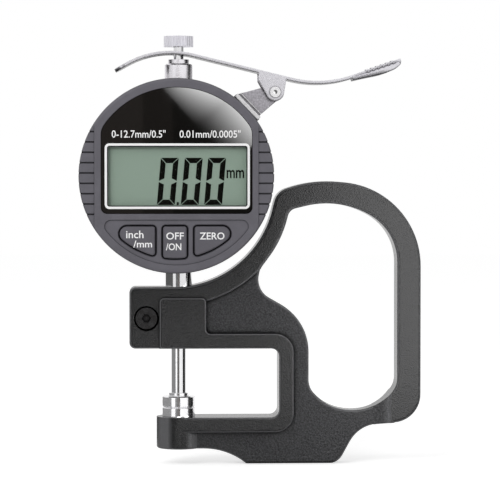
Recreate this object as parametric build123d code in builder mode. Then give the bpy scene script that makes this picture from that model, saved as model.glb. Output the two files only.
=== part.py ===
"""Digital thickness gauge: an indicator head clamped in a cast C-frame with a finger ring.

Millimetres, +Z up. The origin is the middle of the flat foot under the frame.
The spindle moves along Z, and the face of the gauge looks along -Y.
"""

import os
from math import asin, cos, degrees, hypot, radians, sin, sqrt

from build123d import *

os.makedirs("parts", exist_ok=True)

# Clearances
running_gap = 0.03          # radial, shaft in a bush
seat_gap = 0.02             # radial, piece pressed or clamped in place
loose_gap = 0.15            # moulded piece in its recess
screw_gap = 0.25            # radial, screw in a plain hole
part_gap = 0.3              # between pieces that must not rub
screw_end_gap = 0.3         # end of a screw to the bottom of its hole

# Spindle axis and the measuring gap
spindle_x = -32.8           # from the middle of the foot
spindle_d = 4.4
travel = 12.7               # full measuring range
anvil_d = 10.0
anvil_h = 2.9               # above the arm
anvil_stem_d = 5.0
anvil_stem_l = 6.0
tip_h = 3.3
tip_neck_d = 5.9
tip_neck_h = 0.9
tip_stud_d = 2.5
tip_stud_l = 5.0
edge_break = 0.3            # chamfer on turned edges

# Cast frame, seen from the front
arm_bottom = 4.5
arm_top = 14.1
throat_h = 20.8
throat_depth = 30.1         # spindle axis to the back wall of the throat
throat_r = 2.4
block_h = 18.5
block_reach = 14.9          # spindle axis to the free end of the clamp block
block_r = 1.8
dish_r = 30.5               # hollow that clears the indicator head
dish_dx = -1.5              # its centre from the spindle axis
dish_sweep = 75.6
shoulder_run = 6.0          # straight run from the dish to the shoulder's corner
shoulder_r = 5.6
ring_break = (7.3, 85.8)    # where the shoulder's slope turns into the top of the ring
ring_break_r = 37.0
ring_right = 40.2
ring_top_z = 82.8           # corner of the ring's outline, above its round
ring_r = 25.4
ring_low_z = 13.1
ring_low_r = 8.6
waist = (21.5, 11.2)        # where the ring runs into the foot
waist_r = 10.3
foot_cut = 0.15             # ground off the casting to make the foot flat
toe_x = 15.3
toe_r = 4.8
heel_x = -12.4
heel_r = 0.4
arch_x = -18.4
arch_r = 20.5
opening_corners = [
    (0.5, 76.6), (15.2, 80.2), (33.1, 70.6), (33.1, 23.5), (26.3, 15.0),
    (11.7, 16.8), (6.4, 23.0), (6.4, 43.2), (-9.7, 52.4), (-8.2, 59.0), (-1.8, 67.6),
]
opening_radii = [3.0, 26.5, 16.5, 6.0, 15.0, 14.5, 6.0, 16.4, 6.5, 4.7, 33.0]

# Cast frame, front to back
web_t = 8.0                 # recessed web
rim_t = 11.5                # clamp block, flange and ring
band_t = 13.5               # raised band round the throat, and the arm's round end
web_edge_r = 0.8
rim_edge_r = 0.9
band_edge_r = 0.7
flange_w = 5.7
band_w = 4.5
band_corner_r = 5.7
pad_left = 5.9              # raised pad, left of the spindle axis
pad_right = 8.2
pad_h = 15.3
pad_r = 1.3
ring_step_x = 31.3          # where the ring drops towards the web
ring_ramp_l = 5.2

# Clamp
stem_d = 8.0
slit_w = 1.0
clamp_screw_x = 9.8         # from the spindle axis
clamp_screw_z = 44.0
clamp_screw_d = 4.0
clamp_head_d = 7.0
clamp_head_h = 2.8
clamp_hex = 2.5
clamp_hex_depth = 1.6
clamp_sink = 3.1
clamp_sink_gap = 0.25
clamp_screw_l = 8.0

# Indicator head
head_gap = 4.25             # between the clamp block and the case
case_dx = -0.78             # its centre from the spindle axis
case_r = 29.2
case_wall = 2.5
front_wall = 2.0
face_y = 10.5               # front face, ahead of the spindle axis
joint_y = 6.0               # joint with the rear cover, behind the axis
cover_t = 2.5
cover_inset = 0.3
cover_edge = 0.8
cover_lip_h = 1.2
cover_lip_t = 1.2
case_edge = 0.9
stem_l_out = 22.0           # stem below the case
stem_sunk = 1.5             # stem's shoulder inside the case wall
stem_bore_d = 5.0
spigot_d = 6.4
end_block_w = 18.5          # blocks that hold the stem, the upper bush and the guide rod
end_block_h = 6.0
end_block_back = 4.6

# Face: lens, window and keys, all about the centre of the case
lens_rim = 2.85             # edge of the case to the lens
lens_side = 1.4             # straight side of the lens, past the window
lens_bottom = -11.2
lens_low_r = 1.8
lens_high_r = 5.0
lens_t = 1.2
lens_sink = 0.15
lens_dx = 0.05
window_dx = 0.25
window_dz = -0.1
window_corner_r = 0.8
window_ledge = 0.4          # case wall that carries the glass
panel_rim = 2.5
panel_top = -13.1           # crescent panel under the lens
panel_sink = 0.35
panel_corner_r = 2.0
key_dx = -0.5
key_rim = 4.2               # edge of the case to the outer arc of the key openings
key_top = -14.7
key_split = 5.5             # inner side of the outer openings
key_mid_w = 7.85
key_nose_r = 2.6
key_corner_r = 1.2
key_side_gap = 0.4          # key to its opening
key_mouth = 0.25            # chamfer round the openings
key_proud = 0.4
key_travel = 0.6
key_flange = 0.6
key_flange_t = 0.75
key_edge = 0.35
key_gap = 0.1               # flange behind the wall of the case

# Grips on both sides of the case
grip_w = 4.7                # in from the edge of the case
grip_sink = 0.2
grip_count = 9
grip_pitch = 3.08
grip_groove_w = 0.5
grip_groove_d = 0.5
grip_dz = 0.85
grip_l = 4.0                # grooves on the side, from the face

# Display and board
lcd_corner_gap = 1.2        # corners of the display to the inner wall of the case
lcd_h = 21.5
lcd_side = 2.0              # border of the display that the lens covers
lcd_edge = 1.55
lcd_t = 2.5
lcd_frame_border = 1.4
strip_w = 2.0
strip_l = 40.0
board_y = 5.0               # front of the board, ahead of the axis
board_t = 1.0
board_screw_spots = [(-13.0, 15.5), (13.0, 15.5)]
board_post_d = 3.8
board_screw_d = 1.6
board_screw_l = 3.0
small_head_d = 3.0          # heads of the board and carrier screws
small_head_h = 1.0
chip_t = 1.0
# Chips: in from the edge of the board, height above its middle, width and height
chip_sizes = [(8.4, 3.0, 7.0, 7.0), (9.4, 11.0, 4.5, 2.0), (10.9, -8.0, 2.0, 1.2), (7.6, -8.0, 2.0, 1.2)]
mat_t = 0.8
mat_border = 0.5            # mat past the keys
dome_d = 4.5
dome_h = 1.2
dome_taper = 20.0
dome_dx = 10.5             # outer domes from the middle one
dome_z = -18.5

# Rear cover, its screws and the battery
cover_screw_angles = [20.0, 160.0, 225.0, 315.0]
cover_post_in = 1.3         # centres of the posts inside the wall of the case
cover_post_d = 4.4
cover_post_gap = 0.4
cover_screw_d = 2.0
cover_screw_l = 7.0
cover_head_d = 3.8
cover_head_h = 1.2
cover_head_sunk = 0.2
cross_w = 0.6               # cross recess of the small screws
cross_l = 2.0
cross_depth = 0.6
battery_side = 1.7          # cell to the inner wall of the case
battery_dz = -2.5
battery_d = 20.0
battery_t = 3.2
cap_d = 22.0
cap_t = 2.0
cap_sink = 0.2
cap_lug_h = 0.9
cap_lug_out = 0.8
cap_lug_w = 4.0
cap_turn = 60.0             # turn that frees the lugs
coin_slot_w = 1.6
coin_slot_l = 14.0
coin_slot_d = 0.9
battery_wall_t = 1.2
battery_gap = 0.2
battery_ledge = 1.0
battery_floor_t = 0.8
contact_t = 0.3
contact_w = 4.0
contact_tab_l = 4.0         # foot of the face contact on the board
contact_arm_l = 5.0         # its arm on the cell, each way from the middle
contact_leg_l = 5.0         # foot of the side contact

# Spindle train
bush_d = 8.4                # upper bush, the part that shows
bush_out = 4.45
bush_plug_d = 6.0
bush_plug_l = 6.5
bush_sunk = 0.5             # spot face in the top of the case
stem_bush_d = 6.0
stem_bush_l = 8.0
collar_d = 6.3
collar_h = 1.2
collar_gap = 0.2
rod_d = 3.0
knob_d = 8.9
knob_h = 3.2
knob_teeth = 30
knob_tooth_d = 0.5
knob_roof = 0.8             # above the blind hole for the rod
knob_gap = 3.85             # rod that shows between collar and knob
carrier_left = 3.4
carrier_right = 9.6
carrier_h = 14.0
carrier_back = 3.6
carrier_z = 68.6
carrier_screw_d = 1.6
carrier_edge = 0.6
scale_w = 12.0
scale_l = 27.5
scale_low = 2.2             # strip below the carrier
scale_t = 0.6
scale_gap = 0.3
guide_x = 7.2
guide_y = 0.8
guide_d = 2.0
guide_sunk = 2.0            # rod inside each end block
spring_r = 2.7
spring_wire = 0.4
spring_turns = 9

# Lift lever, seen from the front: from the spindle axis and the top of the case
pin_dx = 29.0               # hinge pin from the spindle axis
pin_dz = -4.0
pin_d = 2.0
pin_head_d = 3.2
pin_head_t = 0.5
pin_bore_d = 1.2
lever_t = 1.0
lever_tip = (-19.1, 2.4)
lever_crest = (-6.3, 9.6)
lever_crest_r = 27.0
lever_sag = (43.3, -2.45)
lever_sag_r = 33.0
paddle_tip = (66.9, 5.7)
lever_w = 9.0
lever_tip_r = 3.4
slot_w = 3.8
slot_l = 12.7
slot_start = 2.1            # slot past the spindle axis, towards the hinge
ear_t = 1.0
ear_left = 5.0
ear_right = 3.4
ear_low = 2.7               # round of the ears about the pin
ear_shoulder = 3.4
paddle_w = 14.0
paddle_l = 15.5
paddle_flare_l = 8.5        # where the leaf reaches its full width
paddle_camber_r = 16.0
paddle_flare_r = 12.0
paddle_tip_r = 4.6
rib_count = 6
rib_pitch = 1.6
rib_h = 0.35
rib_l = 0.7
rib_start = 4.8
rib_half_angle = 18.0

# Lever bracket on the rim of the case
bracket_angle = 44.0
bracket_sink = 0.4          # flat seat below the rim of the case
bracket_t = 1.1
bracket_l = 10.2
bracket_gap = 0.15
bracket_bend_r = 0.6
bracket_web_end = 4.25
bracket_web_tip_r = 2.3
bracket_screw_d = 2.0
bracket_head_d = 3.6
bracket_head_h = 1.2
bracket_boss_d = 5.0
bracket_boss_l = 6.0
bracket_screw_l = 6.0

# Worked-out places
case_x = spindle_x + case_dx
throat_back = spindle_x + throat_depth
block_bottom = arm_top + throat_h
block_top = block_bottom + block_h
block_left = spindle_x - block_reach
dish_x = spindle_x + dish_dx
dish_z = block_top + dish_r
stem_r = stem_d / 2
measure_z = arm_top + anvil_h
tip_top = measure_z + tip_h
spindle_bottom = tip_top + tip_neck_h
case_inner_r = case_r - case_wall
case_bottom = block_top + head_gap
dial_z = case_bottom + case_r
case_top = dial_z + case_r
stem_bottom = case_bottom - stem_l_out
stem_shoulder = case_bottom + stem_sunk
bush_top = case_top + bush_out
spindle_top = bush_top + collar_gap
collar_top = spindle_top + collar_h
knob_bottom = collar_top + knob_gap
knob_top = knob_bottom + knob_h
back_y = joint_y + cover_t
board_back = board_y - board_t
scale_front = board_back - scale_gap
scale_back = scale_front - scale_t
pin_x = spindle_x + pin_dx
pin_z = case_top + pin_dz
battery_x = battery_side + battery_d / 2 - case_inner_r
cover_screw_circle_r = case_inner_r - cover_post_in
bracket_seat = case_r - bracket_sink
bottom_block_z = dial_z - case_inner_r + end_block_h
top_block_z = dial_z + case_inner_r - end_block_h
scale_z = carrier_z - scale_low
lip_r = case_inner_r - loose_gap
board_r = case_inner_r - part_gap
lens_r = case_r - lens_rim
key_arc_r = case_r - key_rim
grip_x = case_r - grip_w
lcd_top = lcd_h / 2 - window_dz
lcd_w = 2 * sqrt((case_inner_r - lcd_corner_gap) ** 2 - lcd_top ** 2)
window_w = lcd_w - 2 * lcd_side
window_h = lcd_h - 2 * lcd_edge
lens_half_w = window_w / 2 + lens_side
lcd_front = face_y - front_wall - key_gap
flange_front = lcd_front
cap_front = back_y - cap_sink - cap_t
cap_lug_r = cap_d / 2 + cap_lug_out
battery_front = cap_front - battery_gap - battery_t
cup_front = battery_front - battery_floor_t
cup_r = battery_d / 2 + loose_gap
cell_side_z = dial_z + battery_dz + battery_d / 2 + contact_t / 2
bracket_w = 2 * (lever_w / 2 - ear_t - bracket_gap)
pin_half_l = lever_w / 2 + 2 * running_gap
dome_spots = [(key_dx - dome_dx, dome_z), (key_dx, dome_z), (key_dx + dome_dx, dome_z)]
spring_l = top_block_z - carrier_z - carrier_h - spring_wire

front = Plane.XZ
case_plane = Plane(origin=(case_x, 0, dial_z), x_dir=(1, 0, 0), z_dir=(0, -1, 0))
face_plane = case_plane.offset(face_y)
joint_plane = case_plane.offset(-joint_y)

seat_out = (cos(radians(bracket_angle)), 0, sin(radians(bracket_angle)))
seat_along = (sin(radians(bracket_angle)), 0, -cos(radians(bracket_angle)))
seat_plane = Plane(
    origin=(case_x + bracket_seat * seat_out[0], 0, dial_z + bracket_seat * seat_out[2]),
    x_dir=seat_along,
    z_dir=seat_out,
)
bracket_plane = Plane(origin=seat_plane.origin, x_dir=seat_along, z_dir=(0, -1, 0))
lever_plane = Plane(origin=(spindle_x, 0, case_top), x_dir=(1, 0, 0), z_dir=(0, -1, 0))
pin_plane = Plane(origin=(pin_x, 0, pin_z), x_dir=(1, 0, 0), z_dir=(0, -1, 0))
paddle_run = hypot(paddle_tip[0] - lever_sag[0], paddle_tip[1] - lever_sag[1])
paddle_dx = (paddle_tip[0] - lever_sag[0]) / paddle_run
paddle_dz = (paddle_tip[1] - lever_sag[1]) / paddle_run
paddle_plane = Plane(
    origin=(
        spindle_x + paddle_tip[0] - paddle_l * paddle_dx,
        0,
        case_top + paddle_tip[1] - paddle_l * paddle_dz,
    ),
    x_dir=(0, 1, 0),
    z_dir=(paddle_dx, 0, paddle_dz),
)
leaf_plane = Plane(
    origin=paddle_plane.origin, x_dir=(paddle_dx, 0, paddle_dz), z_dir=(-paddle_dz, 0, paddle_dx)
)
cover_head_plane = case_plane.offset(cover_head_h + cover_head_sunk - back_y)
cap_plane = Plane(
    origin=(case_x + battery_x, cap_front, dial_z + battery_dz), x_dir=(1, 0, 0), z_dir=(0, -1, 0)
)
cell_face_contact = [
    (case_x + battery_x + contact_tab_l, contact_t / 2 - board_back),
    (case_x + battery_x - contact_arm_l, contact_t / 2 - board_back),
    (case_x + battery_x - contact_arm_l, battery_front - contact_t / 2),
    (case_x + battery_x + contact_arm_l, battery_front - contact_t / 2),
]
cell_side_contact = [
    (contact_t / 2 - board_back, cell_side_z + contact_leg_l),
    (contact_t / 2 - board_back, cell_side_z),
    (joint_y - battery_ledge, cell_side_z),
]


def on_spindle(z):
    """Level plane on the spindle axis at height z."""
    return Plane(origin=(spindle_x, 0, z))


def lever_slope_z(x):
    """Height of the lever's middle line on its straight run over the hinge."""
    slope = (lever_sag[1] - lever_crest[1]) / (lever_sag[0] - lever_crest[0])
    return case_top + lever_crest[1] + slope * (x - spindle_x - lever_crest[0])


# Cast frame: the outline and the raised regions, drawn from the front
with BuildSketch() as frame_outline:
    with BuildLine():
        dish = CenterArc((dish_x, dish_z), dish_r, -90, dish_sweep)
        shoulder = dish @ 1 + (dish % 1) * shoulder_run
        FilletPolyline(
            dish @ 1,
            shoulder,
            ring_break,
            (ring_right, ring_top_z),
            (ring_right, ring_low_z),
            waist,
            (toe_x, -foot_cut),
            (heel_x, -foot_cut),
            (arch_x, arm_bottom),
            (spindle_x, arm_bottom),
            radius=[shoulder_r, ring_break_r, ring_r, ring_low_r, waist_r, toe_r, heel_r, arch_r],
        )
        Line((spindle_x, arm_bottom), (spindle_x, arm_top))
        FilletPolyline(
            (spindle_x, arm_top),
            (throat_back, arm_top),
            (throat_back, block_bottom),
            (block_left, block_bottom),
            (block_left, block_top),
            dish @ 0,
            radius=[throat_r, throat_r, block_r, block_r],
        )
    make_face()

with BuildSketch() as finger_opening:
    with BuildLine():
        FilletPolyline(*opening_corners, radius=opening_radii, close=True)
    make_face()

with BuildSketch() as rim_region:
    with Locations((dish_x, dish_z)):
        Circle(dish_r + flange_w)
    with BuildLine():
        Polyline(
            (block_left, block_bottom),
            (spindle_x + pad_right, block_bottom),
            (spindle_x + pad_right, block_top),
            (block_left, block_top),
            close=True,
        )
    make_face()
    with BuildLine():
        Polyline(
            (dish_x, dish_z),
            (ring_step_x, ring_low_z + ring_r),
            (ring_step_x, 0),
            (ring_right, 0),
            (ring_right, ring_break[1]),
            (dish_x, ring_break[1]),
            close=True,
        )
    make_face()
    add(frame_outline.sketch, mode=Mode.INTERSECT)
    add(finger_opening.sketch, mode=Mode.SUBTRACT)

with BuildSketch() as band_region:
    with BuildLine():
        inner = FilletPolyline(
            (spindle_x, arm_top),
            (throat_back, arm_top),
            (throat_back, block_bottom),
            (spindle_x - pad_left, block_bottom),
            radius=throat_r,
        )
        outer = FilletPolyline(
            inner @ 1,
            (spindle_x - pad_left, block_bottom + pad_h),
            (spindle_x + pad_right, block_bottom + pad_h),
            (spindle_x + pad_right, block_bottom + band_w),
            (throat_back + band_w, block_bottom + band_w),
            (throat_back + band_w, arm_top - band_w),
            (spindle_x, arm_top - band_w),
            radius=[pad_r, pad_r, pad_r, band_corner_r, band_corner_r],
        )
        Line(outer @ 1, inner @ 0)
    make_face()

with BuildPart() as web_blank:
    with BuildSketch(front):
        add(frame_outline.sketch)
        add(finger_opening.sketch, mode=Mode.SUBTRACT)
    extrude(amount=web_t / 2, both=True)
    fillet(web_blank.faces().filter_by(Axis.Y).edges(), web_edge_r)

with BuildPart() as rim_blank:
    with BuildSketch(front):
        add(rim_region.sketch)
    extrude(amount=rim_t / 2, both=True)
    fillet(rim_blank.faces().filter_by(Axis.Y).edges(), rim_edge_r)

with BuildPart() as band_blank:
    with BuildSketch(front):
        add(band_region.sketch)
    extrude(amount=band_t / 2, both=True)
    fillet(band_blank.faces().filter_by(Axis.Y).edges(), band_edge_r)

with BuildPart() as ramp_blank:
    with BuildSketch(front):
        add(frame_outline.sketch)
        add(finger_opening.sketch, mode=Mode.SUBTRACT)
    extrude(amount=rim_t / 2, both=True)
    with BuildSketch(Plane.XY):
        with BuildLine():
            rise = TangentArc(
                (ring_step_x - ring_ramp_l, web_t / 2), (ring_step_x, rim_t / 2), tangent=(1, 0)
            )
            ridge = Line(rise @ 1, (ring_step_x + rim_edge_r, rim_t / 2))
            Polyline(ridge @ 1, (ring_step_x + rim_edge_r, 0), (ring_step_x - ring_ramp_l, 0), rise @ 0)
        make_face()
        mirror(about=Plane.XZ)
    extrude(amount=ring_low_z + ring_low_r, mode=Mode.INTERSECT)

# Round end of the arm, under the anvil
with BuildPart() as arm_end:
    with BuildSketch(on_spindle(arm_bottom)):
        Circle(band_t / 2)
    extrude(amount=arm_top - arm_bottom)
    fillet(arm_end.edges().group_by(Axis.Z)[0], band_edge_r)

with BuildPart() as frame:
    add(web_blank.part)
    add(rim_blank.part)
    add(ramp_blank.part)
    add(band_blank.part)
    add(arm_end.part)
    split(bisect_by=Plane.XY, keep=Keep.TOP)
    # Bore and slit of the clamp
    with BuildSketch(on_spindle(block_bottom)):
        Circle(stem_r + seat_gap)
        with Locations((-block_reach / 2, 0)):
            Rectangle(block_reach, slit_w)
    extrude(amount=case_bottom - block_bottom, mode=Mode.SUBTRACT)
    # Counterbored hole of the clamp screw, tapped behind the slit
    with BuildSketch(front.offset(rim_t / 2)):
        with Locations((spindle_x - clamp_screw_x, clamp_screw_z)):
            Circle(clamp_head_d / 2 + clamp_sink_gap)
    extrude(amount=-clamp_sink, mode=Mode.SUBTRACT)
    with BuildSketch(front.offset(rim_t / 2)):
        with Locations((spindle_x - clamp_screw_x, clamp_screw_z)):
            Circle(clamp_screw_d / 2 + screw_gap)
    extrude(amount=-rim_t / 2, mode=Mode.SUBTRACT)
    with BuildSketch(front):
        with Locations((spindle_x - clamp_screw_x, clamp_screw_z)):
            Circle(clamp_screw_d / 2 + seat_gap)
    extrude(amount=-rim_t / 2, mode=Mode.SUBTRACT)
    # Seat of the anvil
    with BuildSketch(on_spindle(arm_top)):
        Circle(anvil_stem_d / 2 + seat_gap)
    extrude(amount=-anvil_stem_l - screw_end_gap, mode=Mode.SUBTRACT)
frame.part.label = "frame"
export_step(frame.part, "parts/frame.step")

# Socket-head screw that closes the clamp
clamp_seat = Plane(
    origin=(spindle_x - clamp_screw_x, clamp_sink - rim_t / 2, clamp_screw_z),
    x_dir=(1, 0, 0),
    z_dir=(0, -1, 0),
)
with BuildPart() as clamp_screw:
    with BuildSketch(clamp_seat):
        Circle(clamp_head_d / 2)
    extrude(amount=clamp_head_h)
    chamfer(clamp_screw.edges().group_by(Axis.Y)[0], edge_break)
    with BuildSketch(clamp_seat.offset(clamp_head_h)):
        RegularPolygon(clamp_hex / 2, 6, major_radius=False)
    extrude(amount=-clamp_hex_depth, mode=Mode.SUBTRACT)
    with BuildSketch(clamp_seat):
        Circle(clamp_screw_d / 2)
    extrude(amount=-clamp_screw_l)
clamp_screw.part.label = "clamp_screw"
export_step(clamp_screw.part, "parts/clamp_screw.step")

# Fixed measuring face, pressed into the arm
with BuildPart() as anvil:
    with BuildSketch(on_spindle(arm_top)):
        Circle(anvil_d / 2)
    extrude(amount=anvil_h)
    chamfer(anvil.edges().group_by(Axis.Z)[-1], edge_break)
    with BuildSketch(on_spindle(arm_top)):
        Circle(anvil_stem_d / 2)
    extrude(amount=-anvil_stem_l)
anvil.part.label = "anvil"
export_step(anvil.part, "parts/anvil.step")

# Stem of the indicator head, with a thinner spigot inside the case
with BuildPart() as stem:
    with BuildSketch(on_spindle(stem_bottom)):
        Circle(stem_r)
    extrude(amount=stem_shoulder - stem_bottom)
    with BuildSketch(on_spindle(stem_shoulder)):
        Circle(spigot_d / 2)
    extrude(amount=bottom_block_z - stem_shoulder)
    with BuildSketch(on_spindle(stem_bottom)):
        Circle(stem_bore_d / 2)
    extrude(amount=bottom_block_z - stem_bottom, mode=Mode.SUBTRACT)
    with BuildSketch(on_spindle(stem_bottom)):
        Circle(stem_bush_d / 2 + seat_gap)
    extrude(amount=stem_bush_l, mode=Mode.SUBTRACT)
    chamfer(stem.edges().group_by(Axis.Z)[0].sort_by(SortBy.RADIUS)[-1], edge_break)
stem.part.label = "stem"
export_step(stem.part, "parts/stem.step")

# Lower guide bush, flush with the end of the stem
with BuildPart() as stem_bush:
    with BuildSketch(on_spindle(stem_bottom)):
        Circle(stem_bush_d / 2)
        Circle(spindle_d / 2 + running_gap, mode=Mode.SUBTRACT)
    extrude(amount=stem_bush_l)
stem_bush.part.label = "stem_bush"
export_step(stem_bush.part, "parts/stem_bush.step")

# Upper guide bush, standing in a spot face on top of the case
with BuildPart() as top_bush:
    with BuildSketch(on_spindle(case_top - bush_sunk)):
        Circle(bush_d / 2)
    extrude(amount=bush_out + bush_sunk)
    chamfer(top_bush.edges().group_by(Axis.Z)[-1], edge_break)
    with BuildSketch(on_spindle(case_top - bush_sunk)):
        Circle(bush_plug_d / 2)
    extrude(amount=-bush_plug_l)
    with BuildSketch(on_spindle(bush_top)):
        Circle(spindle_d / 2 + running_gap)
    extrude(amount=-bush_out - bush_sunk - bush_plug_l, mode=Mode.SUBTRACT)
top_bush.part.label = "top_bush"
export_step(top_bush.part, "parts/top_bush.step")

# Spindle, with the thin rod of the knob at its top
with BuildPart() as spindle:
    with BuildSketch(on_spindle(spindle_bottom)):
        Circle(spindle_d / 2)
    extrude(amount=spindle_top - spindle_bottom)
    with BuildSketch(on_spindle(spindle_top)):
        Circle(rod_d / 2)
    extrude(amount=knob_top - knob_roof - spindle_top)
    with BuildSketch(on_spindle(spindle_bottom)):
        Circle(tip_stud_d / 2 + seat_gap)
    extrude(amount=tip_stud_l + screw_end_gap, mode=Mode.SUBTRACT)
spindle.part.label = "spindle"
export_step(spindle.part, "parts/spindle.step")

# Moving measuring face, screwed into the spindle
with BuildPart() as contact_tip:
    with BuildSketch(on_spindle(measure_z)):
        Circle(anvil_d / 2)
    extrude(amount=tip_h)
    chamfer(contact_tip.edges().filter_by(GeomType.CIRCLE), edge_break)
    with BuildSketch(on_spindle(tip_top)):
        Circle(tip_neck_d / 2)
    extrude(amount=tip_neck_h)
    with BuildSketch(on_spindle(spindle_bottom)):
        Circle(tip_stud_d / 2)
    extrude(amount=tip_stud_l)
contact_tip.part.label = "contact_tip"
export_step(contact_tip.part, "parts/contact_tip.step")

# Collar on the rod, just above the upper bush
with BuildPart() as stop_collar:
    with BuildSketch(on_spindle(spindle_top)):
        Circle(collar_d / 2)
        Circle(rod_d / 2 + seat_gap, mode=Mode.SUBTRACT)
    extrude(amount=collar_h)
stop_collar.part.label = "stop_collar"
export_step(stop_collar.part, "parts/stop_collar.step")

# Knurled knob on the end of the rod
with BuildPart() as lift_knob:
    with BuildSketch(on_spindle(knob_bottom)):
        Circle(knob_d / 2)
        with PolarLocations(knob_d / 2, knob_teeth):
            Circle(knob_tooth_d / 2, mode=Mode.SUBTRACT)
    extrude(amount=knob_h)
    with BuildSketch(on_spindle(knob_bottom)):
        Circle(rod_d / 2 + seat_gap)
    extrude(amount=knob_h - knob_roof, mode=Mode.SUBTRACT)
lift_knob.part.label = "lift_knob"
export_step(lift_knob.part, "parts/lift_knob.step")

# Carrier clamped on the spindle: it holds the scale and slides on the guide rod
carrier_w = carrier_left + carrier_right
carrier_t = carrier_back + scale_back
with BuildPart() as scale_carrier:
    with BuildSketch(on_spindle(carrier_z)):
        with Locations(((carrier_right - carrier_left) / 2, (carrier_back - scale_back) / 2)):
            Rectangle(carrier_w, carrier_t)
        Circle(spindle_d / 2 + seat_gap, mode=Mode.SUBTRACT)
        with Locations((guide_x, guide_y)):
            Circle(guide_d / 2 + running_gap, mode=Mode.SUBTRACT)
    extrude(amount=carrier_h)
    chamfer(scale_carrier.edges().filter_by(Axis.Z).group_by(Axis.Y)[-1], carrier_edge)
    with BuildSketch(front.offset(-carrier_back)):
        with Locations((spindle_x, carrier_z + carrier_h / 2)):
            Circle(carrier_screw_d / 2 + seat_gap)
    extrude(amount=carrier_back, mode=Mode.SUBTRACT)
scale_carrier.part.label = "scale_carrier"
export_step(scale_carrier.part, "parts/scale_carrier.step")

# Strip with the moving electrodes of the capacitive scale
with BuildPart() as scale_strip:
    with BuildSketch(front.offset(scale_back)):
        with Locations((spindle_x + (carrier_right - carrier_left) / 2, scale_z + scale_l / 2)):
            Rectangle(scale_w, scale_l)
    extrude(amount=scale_t)
scale_strip.part.label = "scale_strip"
export_step(scale_strip.part, "parts/scale_strip.step")

# Screw that clamps the carrier on the spindle
carrier_screw_plane = Plane(
    origin=(spindle_x, carrier_back, carrier_z + carrier_h / 2), x_dir=(1, 0, 0), z_dir=(0, 1, 0)
)
with BuildPart() as carrier_screw:
    with BuildSketch(carrier_screw_plane):
        Circle(small_head_d / 2)
    extrude(amount=small_head_h)
    with BuildSketch(carrier_screw_plane):
        Circle(carrier_screw_d / 2)
    extrude(amount=spindle_d / 2 + screw_end_gap - carrier_back)
    with BuildSketch(carrier_screw_plane.offset(small_head_h)):
        Rectangle(cross_l, cross_w)
        Rectangle(cross_w, cross_l)
    extrude(amount=-cross_depth, mode=Mode.SUBTRACT)
carrier_screw.part.label = "carrier_screw"
export_step(carrier_screw.part, "parts/carrier_screw.step")

# Coil spring between the carrier and the upper end block
with BuildPart() as return_spring:
    with BuildLine(on_spindle(carrier_z + carrier_h + spring_wire / 2)):
        coil = Helix(spring_l / spring_turns, spring_l, spring_r)
    with BuildSketch(Plane(origin=coil @ 0, z_dir=coil % 0)):
        RegularPolygon(spring_wire / 2, 6)
    sweep(is_frenet=True)
return_spring.part.label = "return_spring"
export_step(return_spring.part, "parts/return_spring.step")

# Rod that keeps the carrier from turning
with BuildPart() as guide_rod:
    with BuildSketch(on_spindle(bottom_block_z - guide_sunk)):
        with Locations((guide_x, guide_y)):
            Circle(guide_d / 2)
    extrude(amount=top_block_z - bottom_block_z + 2 * guide_sunk)
guide_rod.part.label = "guide_rod"
export_step(guide_rod.part, "parts/guide_rod.step")

# Outlines on the face, about the centre of the case
with BuildSketch() as lens_outline:
    Circle(lens_r)
    Rectangle(2 * lens_half_w, 2 * lens_r, mode=Mode.INTERSECT)
    with Locations((0, lens_bottom)):
        Rectangle(2 * lens_r, lens_r, align=(Align.CENTER, Align.MAX), mode=Mode.SUBTRACT)
    fillet(lens_outline.vertices().group_by(Axis.Y)[0], lens_low_r)
    fillet(lens_outline.vertices().group_by(Axis.Y)[-1], lens_high_r)

with BuildSketch() as window_outline:
    with Locations((window_dx - lens_dx, window_dz)):
        RectangleRounded(window_w, window_h, window_corner_r)

with BuildSketch() as panel_outline:
    Circle(case_r - panel_rim)
    with Locations((0, panel_top)):
        Rectangle(2 * case_r, case_r, align=(Align.CENTER, Align.MAX), mode=Mode.INTERSECT)
    fillet(panel_outline.vertices(), panel_corner_r)

with BuildSketch() as right_opening:
    Circle(key_arc_r)
    with Locations((key_split, key_top)):
        Rectangle(key_arc_r, key_arc_r, align=(Align.MIN, Align.MAX), mode=Mode.INTERSECT)
    fillet(right_opening.vertices().sort_by(Axis.X)[-1], key_nose_r)
    fillet(right_opening.vertices().group_by(Axis.X)[0], key_corner_r)

with BuildSketch() as left_opening:
    add(right_opening.sketch)
    mirror(about=Plane.YZ, mode=Mode.REPLACE)

with BuildSketch() as middle_opening:
    Circle(key_arc_r)
    with Locations((0, key_top)):
        Rectangle(key_mid_w, key_arc_r, align=(Align.CENTER, Align.MAX), mode=Mode.INTERSECT)
    fillet(middle_opening.vertices(), key_corner_r)

with BuildSketch() as grooves:
    with Locations((0, grip_dz)):
        with GridLocations(0, grip_pitch, 1, grip_count):
            Rectangle(2 * (case_r + part_gap), grip_groove_w)

post_spots = [
    (cover_screw_circle_r * cos(radians(a)), cover_screw_circle_r * sin(radians(a)))
    for a in cover_screw_angles
]

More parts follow.
